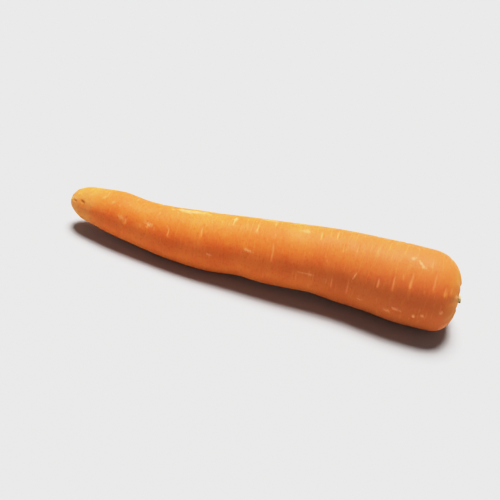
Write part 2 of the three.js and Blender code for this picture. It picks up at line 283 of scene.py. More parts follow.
fold_turn = SHOULDER_FOLDS * turn + SHOULDER_FOLD_UNEVENNESS * np.sin(2 * turn)
shoulder_fold = np.maximum(0, np.cos(fold_turn)) ** 2
near_crown = smooth_step(station, ROOT_LENGTH - SHOULDER_FOLD_REACH, ROOT_LENGTH)
relief -= SHOULDER_FOLD_DEPTH * near_crown * shoulder_fold
crease_turn = (TAIL_CREASES * turn + TAIL_CREASE_TURN
               + TAIL_CREASE_UNEVENNESS * np.sin(turn + 1))
tail_crease = np.maximum(0, np.cos(crease_turn)) ** 2
relief -= TAIL_CREASE_DEPTH * (1 - smooth_step(station, 1, TAIL_CREASE_REACH)) * tail_crease
print("low relief from", relief.min().round(2), "to", relief.max().round(2), "mm")

# %% [markdown]
# ## Scars of the side roots
# Thin side roots grow out of a carrot in ranks. Washing pulls them off, and each leaves a short
# scar across the body: a shallow dent with a narrow slit of pale cork in it. The larger ones are
# in the solids. Here each keeps its dent and gets its slit and low lips, and many faint short
# ones are strewn between them. They could be a painted texture, but a slit that is really sunk
# catches the light from every side.

# %% Say where the side-root scars are
SCARS = [[38, 154, 4], [50, 145, 3.5], [61.5, 146, 5], [78.5, 131, 6.5], [93, 93, 9],
         [105.5, 105, 6], [115, 149, 10], [136, 101, 7], [143.5, 91, 9], [148, 187, 7],
         [155, 179, 9], [169.5, 156, 5.5], [176, 150, 8], [182.5, 140, 8.5],
         [193.5, 135, 10], [200, 144, 4]]  # station, angle, length
CORKED = [0.45, 0.75, 0.85, 0.65, 0.8, 0.5, 0.8, 0.5,
          0.5, 0.15, 0.6, 1, 0.75, 0.65, 0.6, 0.5]  # how pale each of them is
RANK_TURN, RANK_APART, RANK_STRAY = 55, 110, 40  # degrees round the root
RANK_LEAST, RANK_MORE = 4, 7  # the others are this long at least, and up to so much longer


def all_scars():
    """Those, and two more at each station on the side away from it, as the roots come in ranks."""
    draw = draws_from(11)
    scars = [scar[:] for scar in SCARS]
    for at, side, _ in SCARS:
        for k in (1, 2):
            away = side + RANK_TURN + RANK_APART * k + RANK_STRAY * (next(draw) - 0.5)
            scars.append([at, away % 360, RANK_LEAST + RANK_MORE * next(draw)])
    return scars


print(len(all_scars()), "scars of the larger side roots")

# %% [markdown]
# ## Slits of cork
# Every scar gets the same slit, wider on the larger ones, that wavers a little and tapers off at
# both ends. What it takes from the relief and how pale it is are kept in two arrays. Only the
# larger scars have a dent round the slit, with a low lip to either side of it.

# %% Cut the slits
LARGE_SLIT, SHORT_SLIT, FAINT_SLIT = 0.38, 0.34, 0.28  # half the width of the pale cork
SLIT_DEPTH = 0.25  # as a share of that width
SCAR_DEPTH, SCAR_WIDTH = 0.35, 1.5  # of the dent, from its middle to either side
SCAR_LEAST_TURN, SHORT_LEAST_TURN = 8, 1  # degrees that a scar spans to either side, at least
LIP_HEIGHT, LIP_AWAY, LIP_WIDTH = 0.08, 1.0, 0.4
HEALED_ON_TOP, HEALED = (57, 130), 0.3  # on top most of the others have closed again
SHORT_SCARS = [[60.5, 137, 2, 0.5], [113.5, 86, 5, 0.5], [46.5, 155, 3, 0.4],
               [202.5, 141, 3.5, 0.4], [145.5, 180, 6, 0.6], [84, 176, 2.5, 0.5],
               [133.5, 199, 2, 0.35], [155.8, 84, 1, 0.5],
               [54, 150, 2, 0.5]]  # station, angle, length, paleness
FAINT_SCARS = 150
FAINT_FROM, FAINT_ALONG = 8, 196  # the stations that they are strewn over

pale = np.zeros(len(station))  # how much cork shows, 0 to 1
dent = np.zeros(len(station))
slit = np.zeros(len(station))
waver = np.array([noise.noise((s * 0.5, a / 9, 4.4))
                  for s, a in np.stack([station, angle], 1).tolist()])


def cork_scar(at, side, length, width, paleness, least_turn):
    """Adds one scar's slit and its cork; returns its taper towards both ends."""
    half_turn = np.maximum(np.degrees(length / 2 / np.maximum(radius, 1)), least_turn)
    share = np.abs(turn_between(angle, side)) / half_turn
    taper = np.clip(1 - share**3, 0, 1)
    wavering = station - at + 0.35 * waver
    line = np.exp(-(wavering / width) ** 2) * taper
    np.subtract(slit, SLIT_DEPTH * width * line, out=slit)
    np.maximum(pale, line * paleness * (1 + 0.5 * waver), out=pale)
    return taper


shade = draws_from(5)
for number, (at, side, length) in enumerate(all_scars()):
    healed = HEALED if HEALED_ON_TOP[0] < side < HEALED_ON_TOP[1] else 1
    paleness = CORKED[number] if number < len(CORKED) else healed * (0.2 + 0.45 * next(shade))
    taper = cork_scar(at, side, length, LARGE_SLIT, paleness, SCAR_LEAST_TURN)
    away = np.abs(station - at)
    dent = np.maximum(dent, SCAR_DEPTH * np.clip(1 - away / SCAR_WIDTH, 0, 1) * taper)
    slit += LIP_HEIGHT * np.exp(-((away - LIP_AWAY) / LIP_WIDTH) ** 2) * taper
for at, side, length, paleness in SHORT_SCARS:
    cork_scar(at, side, length, SHORT_SLIT, paleness, SHORT_LEAST_TURN)

draw = draws_from(23)
for _ in range(FAINT_SCARS):
    at, side = FAINT_FROM + FAINT_ALONG * next(draw) ** 0.8, 360 * next(draw)
    length = 1.2 + 4.5 * next(draw) ** 2
    cork_scar(at, side, length, FAINT_SLIT, 0.12 + 0.35 * next(draw) ** 2, SHORT_LEAST_TURN)
relief += slit - dent
print(len(SHORT_SCARS), "short scars and", FAINT_SCARS, "faint ones; the deepest slit is",
      round(-slit.min(), 2), "mm")

# %% [markdown]
# ## Wrinkles
# As a carrot loses a little water its skin draws into fine wrinkles that run part of the way
# round, mostly in groups. Noise that is stretched round the root has the right run: where it
# crosses zero it draws long, thin, wandering lines, and a second, slower noise says where the
# groups are. A displacement texture could do this, but it would need the same stretched
# coordinates and it could not be kept out of the scars.

# %% Draw the skin into wrinkles
RIPPLE_HEIGHT = 0.07
WRINKLE_DEPTH = 0.11
WRINKLE_LEAST = 0.25  # of that depth, away from the groups
WRINKLE_WIDTH = 0.16  # in the noise's own measure, to either side of zero
GRAIN_HEIGHT = 0.035


def noise_round(spread, step, shift):
    """Noise on the straight root: spread is its detail round the root, step its size along."""
    places = np.stack([spread * np.cos(turn) + shift, spread * np.sin(turn), station / step], 1)
    return np.array([noise.noise(place) for place in places.tolist()])


groups = smooth_step(noise_round(1.3, 14, 3.1), -0.25, 0.35)
wrinkle_run = noise_round(1.5, 1.9, 9.7)
wrinkles = np.clip(1 - np.abs(wrinkle_run) / WRINKLE_WIDTH, 0, 1) ** 1.5
ripple = noise_round(2.2, 5.5, 17.3)
fine_grain = noise_round(7.0, 0.9, 29.9)
grouped = WRINKLE_LEAST + (1 - WRINKLE_LEAST) * groups
relief += RIPPLE_HEIGHT * ripple - WRINKLE_DEPTH * wrinkles * grouped + GRAIN_HEIGHT * fine_grain
print("wrinkles cover", round(float((wrinkles > 0.3).mean()) * 100), "% of the skin")

# %% [markdown]
# ## Scuffs
# Handling rubs the skin in places, which leaves pale, dry, slightly rough patches. They are mostly
# colour, so they become a number on every vertex that the skin's material reads. A wide patch is
# broken up by coarse noise, and a small one by fine speckles. The two small spots near the tail at
# stations 22 and 28 are painted highlights, laid on in the same way.

# %% Place the scuffs and spots
WIDE_SCUFF = 4  # one that reaches further than this along the root is a wide patch
SCUFF_LEAST = 0.05
SCUFF_ROUGHNESS = 0.05
SCUFFS_AND_HIGHLIGHTS = [[69, 84, 10, 8, 0.7, 0], [185.5, 116, 2.2, 3.5, 0.6, 2.4], [181.3, 108, 1, 3, 0.5, 0],
          [50.1, 144, 2.1, 4, 0.9, 1.2], [52.4, 144, 0.5, 5, 0.5, 0], [110, 76, 5, 5, 0.4, 0],
          [35.5, 153, 2.6, 6, 0.45, 0.8], [205.5, 151, 0.9, 4, 0.9, 0], [179, 188, 1.8, 3, 0.6, 0],
          [187, 191, 1, 3.2, 0.95, 0], [191, 187, 1, 3.2, 0.95, 0], [162.5, 194, 2, 2, 0.6, 0],
          [176, 196, 1.4, 3, 0.5, 0], [200, 178, 0.8, 3, 0.7, 0], [103.2, 153, 2.8, 2.6, 0.95, 0.8],
          [83.8, 175, 1.6, 2, 0.6, 0.5], [133.5, 174, 6, 1.3, 0.8, 0], [157.6, 157, 0.9, 3, 1, -8],
          [93.4, 90, 1.5, 5, 0.5, 0], [128.5, 97, 2.6, 5, 0.4, 0],
          # the next two spots are painted highlights
          [22, 115, 0.9, 5, 0.35, 0], [28, 123, 0.8, 5, 0.3, 0],
          [202, 223, 2.6, 16, 0.5, 0], [30, 250, 6, 20, 0.4, 0], [92, 300, 9, 16, 0.35, 0],
          [150, 20, 7, 12, 0.4, 0], [176, 340, 9, 10, 0.35, 0],
          [60, 350, 7, 12, 0.35, 0]]  # station, angle, reaches along and round, paleness, slant

patchy = noise_round(9, 2.6, 41.3)
speckled = noise_round(16, 0.8, 47.1)
rubbed = 1 + 0.5 * noise_round(3, 0.5, 53.9) + 0.4 * noise_round(9, 1.6, 57.3)
scuff = np.zeros(len(station))
for at, side, reach, spread, paleness, slant in SCUFFS_AND_HIGHLIGHTS:
    aside = turn_between(angle, side + slant * (station - at))
    near = np.exp(-((station - at) / reach) ** 2 - (aside / spread) ** 2)
    if reach > WIDE_SCUFF:
        broken = smooth_step(near + 0.6 * patchy, 0.15, 1) * rubbed
    else:
        broken = smooth_step(near + 0.6 * speckled, 0.3, 0.75)
    scuff = np.maximum(scuff, paleness * broken * (near > SCUFF_LEAST))
relief += SCUFF_ROUGHNESS * scuff * (1 + patchy)
print("scuffs cover", round(float((scuff > 0.2).mean()) * 100, 1), "% of the skin")

# %% [markdown]
# ## The tail's end
# The tail broke off when the carrot was pulled. Its end has dried to a small brown button with
# ragged edges and a few short cracks in it, and the skin behind it has turned tan and a little
# lumpy. The tan is laid on more strongly on the shaded front and underside than on top, which is
# painted light. Noise over the surface gives the ragged edges; noise that ran round the root would
# draw rays there, because all angles meet at the tip.

# %% Dry the tail's end
CRACK_DEPTH = 0.3
DRY_DEPTH = 0.25
TAN_LUMPS = 0.16
DRY_CORE, DRY_REACH = 2.6, 4.8  # mm from the tip
TAN_CORE, TAN_REACH = 4, 27  # stations
TAIL_CRACKS = [[5.6, 152, 4.2, 1, 0.75], [10.9, 147, 3.8, 3, 0.85], [3.4, 228, 3.4, 4, 0.5],
               [2.2, 60, 2.6, -6, 0.4], [8, 268, 2.4, -2, 0.45],
               [4.4, 12, 2.2, 5, 0.4]]  # station, angle, length, slant, half width


def noise_at(size):
    """Noise on the straight root that is as fine in all directions."""
    return np.array([noise.noise(place) for place in (straight / size + 51.7).tolist()])


tail_distance = np.hypot(radius, station * 1.6)
ragged_edge = 2.6 * noise_at(4) + 1.8 * noise_at(1.4)
tail_end = 1 - smooth_step(tail_distance + ragged_edge, DRY_CORE, DRY_REACH)
tail_cracks = np.zeros(len(station))
for at, side, length, slant, half_width in TAIL_CRACKS:
    along = (station - at) / (length / 2)
    across = radius * np.radians(turn_between(angle, side + slant * along)) / half_width
    open_crack = np.clip(1 - along**2, 0, 1) * np.clip(1 - across**2, 0, 1)
    tail_cracks = np.maximum(tail_cracks, min(1, 1.3 * half_width) * open_crack)
relief -= CRACK_DEPTH * tail_cracks + DRY_DEPTH * tail_end * (0.6 + noise_at(1.1))
tail_tan_and_painted_light = 1 - smooth_step(station + 6 * noise_round(2.4, 6, 33.1), TAN_CORE, TAN_REACH)
relief += TAN_LUMPS * tail_tan_and_painted_light * noise_round(3.4, 2.2, 19.7)
# Painted light: the tan is laid on less on top, so it lightens the shaded front and underside of
# the tail most.
tail_tan_and_painted_light *= 1 - 0.6 * smooth_step(np.abs(turn_between(angle, 190)), 45, 100)  # least on top
mottled = smooth_step(noise_at(1.7) + 0.6 * noise_at(0.7), 0.05, 0.6)
tail_end = np.maximum(tail_end, 0.55 * np.sqrt(tail_tan_and_painted_light) * mottled)
print("dry end:", int((tail_end > 0.5).sum()), "vertices")

# %% [markdown]
# ## The crown's colours
# The skin is painted darker towards the crown, which is painted shade. Round the hollow its skin
# turns yellow, and inside the hollow it is greenish, because light reached it there above the soil.
# Nothing has to be shaped for this, so it is three more numbers on every vertex.

# %% Tint the crown
CROWN_SHADE_FROM, CROWN_SHADE_FULL_AT = 90, 190  # stations
YELLOW_FROM, YELLOWEST_AT = 200, 206.4  # stations
GREENEST_WITHIN, GREEN_WITHIN = 5.2, 8.4  # radii

# Painted shade: the skin is darkened more and more towards the crown.
painted_crown_shade = smooth_step(station, CROWN_SHADE_FROM, CROWN_SHADE_FULL_AT)
ragged_station = station + 1.5 * noise_round(3, 4, 71.9)
crown_tinge = np.where(in_hollow, 1.0, smooth_step(ragged_station, YELLOW_FROM, YELLOWEST_AT))
greenish = 1 - smooth_step(radius, GREENEST_WITHIN, GREEN_WITHIN)
hollow_shade = np.where(station > SHOULDER_FROM, greenish, 0)
print("crown tinge on", int((crown_tinge > 0.5).sum()), "vertices")

# %% [markdown]
# ## Laying the root down
# The relief is pushed along each vertex's own normal, fading out towards the middle line where
# the normals crowd together. Then the straight root is bent, and whatever would sink below the
# surface that it lies on is pressed level, which is the small flat that a carrot rests on.

# %% Bend the root and press its flats level
HOLLOW_SMOOTHNESS = 8  # power by which the relief fades inwards from the crown's rim


def place_mesh(mesh, points):
    """Writes straight points in mm into a mesh as places on the lying carrot, in metres."""
    placed = bend_along_root(points)
    placed[:, 2] = np.maximum(placed[:, 2], 0)
    mesh.vertices.foreach_set("co", (placed * MM).ravel())
    mesh.update()


def keep_number(mesh, name, values):
    layer = mesh.attributes.new(name, "FLOAT", "POINT")
    layer.data.foreach_set("value", np.asarray(values, np.float32))


fading = np.where(station > ROOT_LENGTH / 2, HOLLOW_SMOOTHNESS, 1)
fade = (np.minimum(1, radius / RIM_RADIUS) ** fading)[:, None]
place_mesh(root_mesh, straight + outward * relief[:, None] * fade)
for name, values in {"cork": pale, "scuff": scuff, "tail_end": tail_end, "tail_tan_and_painted_light": tail_tan_and_painted_light,
                     "tail_cracks": tail_cracks, "crown": crown_tinge,
                     "painted_crown_shade": painted_crown_shade, "hollow": hollow_shade}.items():
    keep_number(root_mesh, name, values)
unbent = root_mesh.attributes.new("unbent", "FLOAT_VECTOR", "POINT")
unbent.data.foreach_set("vector", (straight * MM).astype(np.float32).ravel())

root = bpy.data.objects.new("carrot_root", root_mesh)
bpy.context.scene.collection.objects.link(root)
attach(root, "root")
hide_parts("taproot")
print("root:", sum(len(face.vertices) - 2 for face in root_mesh.polygons), "triangles")

# %% [markdown]
# ## The leaf-stalk stubs
# The leaves of a carrot are cut off close to the crown. What is left is a tight spiral of stalk
# bases round a small bud, all standing on a short disc of stem. Each base is a thick crescent in
# section, ribbed on the outside, and its cut end has dried and sunk. A crescent is a circle that
# is pushed in on one side, so each base starts from create_circle and is extruded upwards.

# %% Sizes of the stubs
CLEARANCE = 0.3
STEM_RADIUS = 5.4
STALKS = 7
STALK_TURN = 137.5  # degrees from one to the next
FIRST_STALK = 120
STALK_OUTER = {"place": 2.9, "width": 5, "thickness": 1.7, "top": -0.8}
STALK_INNER = {"place": 1, "width": 2.9, "thickness": 1.3, "top": 0.8}
STALK_REACH = 1.3  # how far a base reaches out past its place, in thicknesses
STALK_LEAN = 0.7
STALK_STRAY = 10
STALK_FOOT_SWELL = 0.12
STALK_ROOTED = 0.3
STALK_CUT_SLOPE = 0.25
CUT_UNEVENNESS = 0.7
TRIM_SLANT = 0.25
TRIM_TOWARDS = 195  # the leaves were trimmed askew: the stubs stand highest at this angle
STALK_SIDES = 44
STALK_STEPS = 9
RIBS, RIB_HEIGHT = 11, 0.07
OUTER_BULGE, HORNS_BACK, PUSHED_IN = 1.125, 0.3, 0.41  # of a crescent, in its thicknesses
HORNS_APART = 0.9  # in its widths


def crescent_point(turn_round, width, thickness):
    """Where a circle's point at that angle goes on a ribbed crescent."""
    facing = math.cos(turn_round)
    across = width / 2 * math.sin(turn_round)
    if facing >= 0:
        rib = 1 + RIB_HEIGHT * math.cos(RIBS * turn_round)
        return OUTER_BULGE * thickness * facing * rib, across
    return -HORNS_BACK * thickness - PUSHED_IN * thickness * facing, across * HORNS_APART


print(STALKS, "stalk bases,", STALK_TURN, "degrees apart")

# %% [markdown]
# ## Growing a base and cutting it off
# The crescent's face is extruded upwards step by step, as a stalk grows. Taking the old face away
# each time leaves a tube with nothing inside it. At the top the face is inset three times and
# moved down a little, which makes the dried rim and the hollow of the cut end.

# %% Grow a face and sink its cut end
CUT_RINGS = ((0.12, 0.04), (0.14, -0.14), (0.16, -0.12))  # how far in, and how far up
CUT_EDGE_DRYNESS = 0.2


def newest(geometry, kind):
    return [g for g in geometry if isinstance(g, kind)]


def grow(bm, cap, height):
    """Extrudes a face upwards, and returns the one that is on top at the end."""
    for step in range(STALK_STEPS):
        grown = bmesh.ops.extrude_face_region(bm, geom=[cap])["geom"]
        if step > 0:  # the first face stays, as the underside; a later one would be left inside
            bmesh.ops.delete(bm, geom=[cap], context="FACES_ONLY")
        bmesh.ops.translate(bm, verts=newest(grown, bmesh.types.BMVert),
                            vec=(0, 0, height / STALK_STEPS))
        cap = newest(grown, bmesh.types.BMFace)[0]
    return cap


def sink_cut_end(bm, cap, dryness):
    """Makes the top face hollow, and marks how dry it is in a layer of the vertices."""
    for v in cap.verts:
        v[dryness] = CUT_EDGE_DRYNESS
    for inward, upward in CUT_RINGS:
        bmesh.ops.inset_region(bm, faces=[cap], thickness=inward, depth=0)
        bmesh.ops.translate(bm, verts=cap.verts[:], vec=(0, 0, upward))
        for v in cap.verts:
            v[dryness] = 1.0
    for v in bmesh.ops.poke(bm, faces=[cap])["verts"]:
        v[dryness] = 1.0


print("a cut end has", len(CUT_RINGS), "rings, and its middle lies",
      round(-sum(upward for _, upward in CUT_RINGS), 2), "mm below its edge")

# %% [markdown]
# ## Standing a base in its place
# The outermost bases are the widest and the lowest, and each next one stands further in, by the
# same turn round the bud. A base is swollen at its foot and leans out a little, and the knife has
# left its end sloping and slightly ragged.

# %% Make one stalk base
CUT_RAGGEDNESS = 0.22


def stalk_base(index, draw):
    """One stalk base standing on the stem, in mm on the straight carrot."""
    share = index / (STALKS - 1)
    size = {key: STALK_OUTER[key] + (STALK_INNER[key] - STALK_OUTER[key]) * share
            for key in STALK_OUTER}
    outermost = size["place"] + STALK_REACH * size["thickness"]
    foot = hollow_station(outermost) + CLEARANCE + STALK_ROOTED
    stands_at = math.radians(FIRST_STALK + STALK_TURN * index)
    askew = TRIM_SLANT * outermost * math.cos(stands_at - math.radians(TRIM_TOWARDS))
    top = CROWN_STATION + size["top"] + askew + CUT_UNEVENNESS * (next(draw) - 0.5)
    height = top - foot
    slant = STALK_CUT_SLOPE * (next(draw) - 0.3)
    bm = bmesh.new()
    dryness = bm.verts.layers.float.new("cut_end")
    bmesh.ops.create_circle(bm, cap_ends=True, segments=STALK_SIDES, radius=1)
    for v in bm.verts:
        v.co.x, v.co.y = crescent_point(math.atan2(v.co.y, v.co.x), size["width"],
                                        size["thickness"])
    sink_cut_end(bm, grow(bm, bm.faces[:][0], height), dryness)
    for v in bm.verts:
        rise = v.co.z / height
        swell = 1 + STALK_FOOT_SWELL * (1 - rise) ** 2
        unlike = Vector((9 * index, 0, 0))  # so that each base is ragged in its own way
        ragged = CUT_RAGGEDNESS * noise.noise(v.co * 1.1 + unlike) * rise**4
        v.co = Vector((size["place"] + v.co.x * swell + STALK_LEAN * rise * rise,
                       v.co.y * swell, foot + v.co.z + slant * v.co.y * rise + ragged))
    about = stands_at + math.radians(STALK_STRAY * (next(draw) - 0.5))
    bmesh.ops.rotate(bm, verts=bm.verts[:], matrix=Matrix.Rotation(about, 3, "Z"))
    return bm


print("one base has", STALK_SIDES * STALK_STEPS, "side faces")

# %% [markdown]
# ## The stem and the bud
# Under the stalk bases lies the stem itself, a low disc that fills the hollow, and in the middle
# of them a small pointed bud of leaves that never opened. The disc is turned with spin like the
# root, so that its underside follows the hollow. The bud starts as a sphere that is stretched and
# drawn to a point.

# %% Make the stem disc and the bud
STEM_EDGE = 0.4
STEM_CROWNING = 0.7
STEM_RINGS = 15
STEM_GROOVE_DEPTH, STEM_GROOVE_CLOSENESS = 0.06, 7
STEM_STEPS = 72
BUD_RADIUS = 1
BUD_TOP = 0.2
BUD_POINTEDNESS = 0.45
BUD_LEAVES, BUD_LEAF_RISE = 5, 0.08
BUD_SIDES, BUD_RINGS = 28, 18


def stem_disc():
    bm = bmesh.new()
    out = np.linspace(0, STEM_RADIUS, STEM_RINGS)
    edge = hollow_station(STEM_RADIUS) + CLEARANCE + STEM_EDGE
    crowned = edge + STEM_CROWNING * (1 - (out / STEM_RADIUS) ** 2)
    domed = crowned + STEM_GROOVE_DEPTH * np.cos(out * STEM_GROOVE_CLOSENESS)
    below = [(r, 0, hollow_station(r) + CLEARANCE) for r in out]
    above = [(r, 0, z) for r, z in zip(out[::-1], domed[::-1])]
    line = [bm.verts.new(place) for place in below + above]
    for a, b in zip(line, line[1:]):
        bm.edges.new((a, b))
    bmesh.ops.spin(bm, geom=bm.verts[:] + bm.edges[:], axis=(0, 0, 1), cent=(0, 0, 0),
                   angle=math.tau, steps=STEM_STEPS, use_merge=True)
    bmesh.ops.remove_doubles(bm, verts=bm.verts[:], dist=MERGE_WITHIN)
    return bm


def leaf_bud():
    bm = bmesh.new()
    foot = hollow_station(0) + CLEARANCE + STALK_ROOTED
    height = CROWN_STATION + BUD_TOP - foot
    bmesh.ops.create_uvsphere(bm, u_segments=BUD_SIDES, v_segments=BUD_RINGS, radius=1)
    for v in bm.verts:
        share = (v.co.z + 1) / 2
        leaves = 1 + BUD_LEAF_RISE * math.cos(BUD_LEAVES * math.atan2(v.co.y, v.co.x))
        slim = BUD_RADIUS * (1 - BUD_POINTEDNESS * share**2) * leaves
        v.co = Vector((v.co.x * slim, v.co.y * slim, foot + height * share))
    return bm


print("the bud stands", BUD_TOP, "mm above the crown's rim")

# %% [markdown]
# ## The stubs as one piece
# Stem, bud and bases grew together, so they go into one mesh, each a closed shell that stands in
# its neighbours. A little noise roughens them along their fibres. One base has a dark spot near the
# rim, which is one more number for the material.

# %% Put the stubs together
GREEN_UP_TO, OLIVE_FROM = CROWN_STATION - 3.5, CROWN_STATION + 1.5
STUB_ROUGHNESS = 0.06
DARK_SPOT_AT = {"angle": 192, "out": 4.2, "above the rim": 1.1}
DARK_SPOT_CORE, DARK_SPOT_REACH = 0.6, 1.3

stubs_bm = bmesh.new()
stub_draw = draws_from(17)
parts = [stem_disc(), leaf_bud()] + [stalk_base(index, stub_draw) for index in range(STALKS)]
for part in parts:
    bmesh.ops.recalc_face_normals(part, faces=part.faces[:])
    loose = as_mesh(part, "part")
    stubs_bm.from_mesh(loose)
    bpy.data.meshes.remove(loose)
stubs_mesh = as_mesh(stubs_bm, "carrot_stalk_stubs")
stub_points = read_vectors(stubs_mesh.vertices, "co")
stub_grain = np.array([noise.noise((p[0] * 2.2, p[1] * 2.2, p[2] * 0.5))
                       for p in stub_points.tolist()])
keep_number(stubs_mesh, "height", smooth_step(stub_points[:, 2], GREEN_UP_TO, OLIVE_FROM))
bruise_turn = math.radians(DARK_SPOT_AT["angle"])
bruise_place = (DARK_SPOT_AT["out"] * math.cos(bruise_turn),
                DARK_SPOT_AT["out"] * math.sin(bruise_turn),
                CROWN_STATION + DARK_SPOT_AT["above the rim"])
from_bruise = np.linalg.norm(stub_points - bruise_place, axis=1)
# a dark spot on one base, near the rim
keep_number(stubs_mesh, "bruise", 1 - smooth_step(from_bruise, DARK_SPOT_CORE, DARK_SPOT_REACH))
along_stub = stubs_mesh.attributes.new("unbent", "FLOAT_VECTOR", "POINT")
along_stub.data.foreach_set("vector", (stub_points * MM).astype(np.float32).ravel())
stub_outward = read_vectors(stubs_mesh.vertex_normals, "vector")
place_mesh(stubs_mesh, stub_points + stub_outward * STUB_ROUGHNESS * stub_grain[:, None])

stubs = bpy.data.objects.new("carrot_stalk_stubs", stubs_mesh)
bpy.context.scene.collection.objects.link(stubs)
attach(stubs, "root")
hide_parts("leaf_stalk_stubs")
print("stubs:", len(stubs_mesh.polygons), "faces")

# %% [markdown]
# ## Building a material from nodes
# A finish is a chain of small mixes: one colour over another wherever some share says so. The
# nodes could be wired up one by one, but a small class with a word for each kind of step keeps the
# chain readable. Patterns read the "unbent" attribute, the place that a point had on the straight
# carrot, so that they follow the root round its bends.

# %% Helpers for materials


class Finish:
    """A material's node tree, built one named step at a time."""

    def __init__(self, name):
        self.material = bpy.data.materials.new(name)
        self.material.use_nodes = True
        self.tree = self.material.node_tree
        self.shader = self.tree.nodes["Principled BSDF"]

    def node(self, kind, **settings):
        made = self.tree.nodes.new(kind)
        for key, value in settings.items():
            setattr(made, key, value)
        return made

    def join(self, source, target):
        self.tree.links.new(source, target)

    def number(self, name):
        """A number that was kept on every vertex."""
        return self.node("ShaderNodeAttribute", attribute_name=name).outputs["Fac"]

    def grain(self, stretch, size, detail=3, rough=0.55):
        """Noise on the unbent root: size in mm, stretch is (across, across, along)."""
        place = self.node("ShaderNodeAttribute", attribute_name="unbent")
        mapping = self.node("ShaderNodeMapping")
        mapping.inputs["Scale"].default_value = stretch
        texture = self.node("ShaderNodeTexNoise")
        texture.inputs["Scale"].default_value = 1 / (size * MM)
        texture.inputs["Detail"].default_value = detail
        texture.inputs["Roughness"].default_value = rough
        self.join(place.outputs["Vector"], mapping.inputs["Vector"])
        self.join(mapping.outputs["Vector"], texture.inputs["Vector"])
        return texture.outputs["Fac"]

    def ramp(self, share, low, high, to_low=0.0, to_high=1.0):
        """Spreads a share between low and high over to_low to to_high."""
        made = self.node("ShaderNodeMapRange", interpolation_type="SMOOTHSTEP")
        for socket, value in zip(made.inputs[1:5], (low, high, to_low, to_high)):
            socket.default_value = value
        self.join(share, made.inputs[0])
        return made.outputs[0]

    def sum(self, *parts):
        """Adds up (share, weight) parts."""
        total = None
        for share, weight in parts:
            made = self.node("ShaderNodeMath", operation="MULTIPLY_ADD")
            made.inputs[1].default_value = weight
            made.inputs[2].default_value = 0
            self.join(share, made.inputs[0])
            if total is not None:
                self.join(total, made.inputs[2])
            total = made.outputs[0]
        return total

    def over(self, under, colour, share):
        """Lays a colour over what is there, wherever the share says so."""
        made = self.node("ShaderNodeMix", data_type="RGBA")
        if isinstance(under, tuple):
            made.inputs[6].default_value = (*under, 1)
        else:
            self.join(under, made.inputs[6])
        made.inputs[7].default_value = (*colour, 1)
        self.join(share, made.inputs[0])
        return made.outputs[2]

    def bump(self, height, depth_mm):
        made = self.node("ShaderNodeBump")
        made.inputs["Distance"].default_value = depth_mm * MM
        self.join(height, made.inputs["Height"])
        self.join(made.outputs["Normal"], self.shader.inputs["Normal"])


print("a finish can:", [name for name in vars(Finish) if not name.startswith("_")])

# %% [markdown]
# ## The skin
# A washed carrot is orange all the way in, and light goes some millimetres into it before it comes
# back, red deepest of all. That is what makes the shaded side of a carrot glow red rather than turn
# grey, so the skin has subsurface scattering instead of a painted dark side. On top lie a patchy
# tint, faint pale rings, the cork of the scars, dry scuffs with two painted highlights among them,
# painted shade towards the crown, the tail's tan with painted light on its shaded side, and the
# crown's own colours. The sheen of damp skin is soft and broad.

# %% Colour the skin
DEEP_ORANGE = (0.72, 0.16, 0.030)
LIGHT_ORANGE = (0.78, 0.205, 0.040)
DARK_GRAIN = (0.54, 0.105, 0.018)
# darker orange for the painted shade towards the crown
CROWN_SHADE_ORANGE = (0.57, 0.152, 0.042)
PALE_RING = (0.80, 0.29, 0.065)
RED_PATCH = (0.64, 0.118, 0.016)
CORK = (1.0, 0.35, 0.13)
# pale of the scuffs, and of two painted highlights
SCUFF_AND_HIGHLIGHT_PALE = (0.95, 0.41, 0.175)
CROWN_YELLOW = (0.66, 0.235, 0.04)
HOLLOW_GREEN = (0.30, 0.25, 0.05)
# tan of the tail, also used as painted light on its shaded side
TAIL_TAN_AND_PAINTED_LIGHT = (0.76, 0.32, 0.09)
DRIED = (0.40, 0.18, 0.05)
CRACK = (0.28, 0.12, 0.02)

skin = Finish("carrot skin")
tint = skin.ramp(skin.grain((1, 1, 1), 22, 3), 0.34, 0.68)
patches = skin.ramp(skin.grain((1, 1, 1.6), 9, 4), 0.52, 0.78, 0, 0.35)
rings = skin.grain((0.12, 0.12, 1), 1.3, 3, 0.6)
flecks = skin.ramp(skin.grain((1, 1, 3.2), 1.1, 2), 0.64, 0.80, 0, 0.5)
colour = skin.over(DEEP_ORANGE, LIGHT_ORANGE, tint)
colour = skin.over(colour, RED_PATCH, patches)
# painted shade towards the crown
colour = skin.over(colour, CROWN_SHADE_ORANGE, skin.sum((skin.number("painted_crown_shade"), 0.75)))
colour = skin.over(colour, PALE_RING, skin.ramp(rings, 0.52, 0.80, 0, 0.45))
colour = skin.over(colour, PALE_RING, flecks)
colour = skin.over(colour, DARK_GRAIN, skin.ramp(skin.grain((0.6, 0.6, 1), 0.9, 2), 0.5, 0.75,
                                                 0, 0.4))
colour = skin.over(colour, CROWN_YELLOW, skin.sum((skin.number("crown"), 0.8)))
# the tail's tan, with painted light on its shaded side
colour = skin.over(colour, TAIL_TAN_AND_PAINTED_LIGHT, skin.sum((skin.number("tail_tan_and_painted_light"), 0.8)))
# scuffs, and two painted highlights near the tail
colour = skin.over(colour, SCUFF_AND_HIGHLIGHT_PALE, skin.sum((skin.number("scuff"), 0.85)))
colour = skin.over(colour, CORK, skin.number("cork"))
colour = skin.over(colour, HOLLOW_GREEN, skin.sum((skin.number("hollow"), 0.8)))
colour = skin.over(colour, DRIED, skin.sum((skin.number("tail_end"), 0.75)))
colour = skin.over(colour, CRACK, skin.sum((skin.number("tail_cracks"), 0.9)))
skin.join(colour, skin.shader.inputs["Base Color"])
print("skin colour:", len(skin.tree.nodes), "nodes so far")

